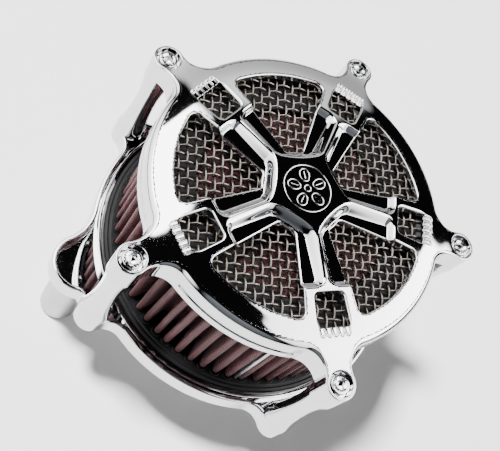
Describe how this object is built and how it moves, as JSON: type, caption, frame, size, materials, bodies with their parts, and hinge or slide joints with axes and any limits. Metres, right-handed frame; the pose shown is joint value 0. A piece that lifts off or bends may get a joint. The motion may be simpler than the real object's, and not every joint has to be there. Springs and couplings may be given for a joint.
{
  "type": "motorcycle air filter",
  "caption": "Round chrome air filter with a five-spoke open face over a woven screen, a red pleated gauze element, five posts and two breather sleeves.",
  "frame": {"origin": "centre of the intake bore in the plane of the back plate's engine side", "axes": "+Z along the intake's axis, out of the face; +Y towards the ear that stands alone on the side away from the two breather lobes' line; +X towards the right-hand breather lobe"},
  "size_m": [0.1932, 0.169, 0.1248],
  "materials": {
    "chrome": "mirror-polished chrome plate on machined aluminium",
    "screw_chrome": "chromed steel, slightly less bright, dark in the sockets",
    "mesh_wire": "crimped woven stainless wire, warm grey, lightly oxidised",
    "black_steel": "black phosphate",
    "zinc_steel": "zinc-plated sheet and screws",
    "oiled_gauze": "maroon oiled cotton gauze with a fine open weave",
    "black_rubber": "moulded soft polyurethane, satin to glossy black",
    "satin_aluminium": "satin machined aluminium",
    "gasket_paper": "dark fibre gasket sheet"
  },
  "bodies": {
    "root": {"back_plate": "chrome", "intake_ring": "satin_aluminium", "intake_screw_1": "zinc_steel", "intake_screw_2": "zinc_steel", "intake_screw_3": "zinc_steel", "throttle_gasket": "gasket_paper", "breather_sleeve_left": "satin_aluminium", "breather_sleeve_right": "satin_aluminium", "sleeve_o_ring_left": "black_rubber", "sleeve_o_ring_right": "black_rubber"},
    "cover": {"face_plate": "chrome", "face_mesh": "mesh_wire", "mesh_retainer": "black_steel", "retainer_screw_1": "zinc_steel", "retainer_screw_2": "zinc_steel", "retainer_screw_3": "zinc_steel", "retainer_screw_4": "zinc_steel", "retainer_screw_5": "zinc_steel"},
    "filter_element": {"filter_pleats": "oiled_gauze", "filter_base_ring": "black_rubber", "filter_top_ring": "black_rubber", "filter_seam_clip": "zinc_steel", "filter_top_media": "oiled_gauze", "filter_top_cap": "black_rubber", "filter_cage": "zinc_steel"},
    "face_screw_1": {"face_screw_1": "screw_chrome"},
    "face_screw_2": {"face_screw_2": "screw_chrome"},
    "face_screw_3": {"face_screw_3": "screw_chrome"},
    "face_screw_4": {"face_screw_4": "screw_chrome"},
    "face_screw_5": {"face_screw_5": "screw_chrome"}
  },
  "joints": [
    {"name": "cover_lift", "type": "slide", "parent": "root", "child": "cover", "axis": [0, 0, 1], "range_m": [0, 0.13]},
    {"name": "filter_lift", "type": "slide", "parent": "root", "child": "filter_element", "axis": [0, 0, 1], "range_m": [0, 0.065]},
    {"name": "face_screw_1_out", "type": "slide", "parent": "cover", "child": "face_screw_1", "axis": [0, 0, 1], "range_m": [0, 0.034]},
    {"name": "face_screw_2_out", "type": "slide", "parent": "cover", "child": "face_screw_2", "axis": [0, 0, 1], "range_m": [0, 0.034]},
    {"name": "face_screw_3_out", "type": "slide", "parent": "cover", "child": "face_screw_3", "axis": [0, 0, 1], "range_m": [0, 0.034]},
    {"name": "face_screw_4_out", "type": "slide", "parent": "cover", "child": "face_screw_4", "axis": [0, 0, 1], "range_m": [0, 0.034]},
    {"name": "face_screw_5_out", "type": "slide", "parent": "cover", "child": "face_screw_5", "axis": [0, 0, 1], "range_m": [0, 0.034]}
  ],
  "couplings": [
    {"joint": "filter_lift", "follows": "cover_lift", "ratio": 0.5}
  ]
}
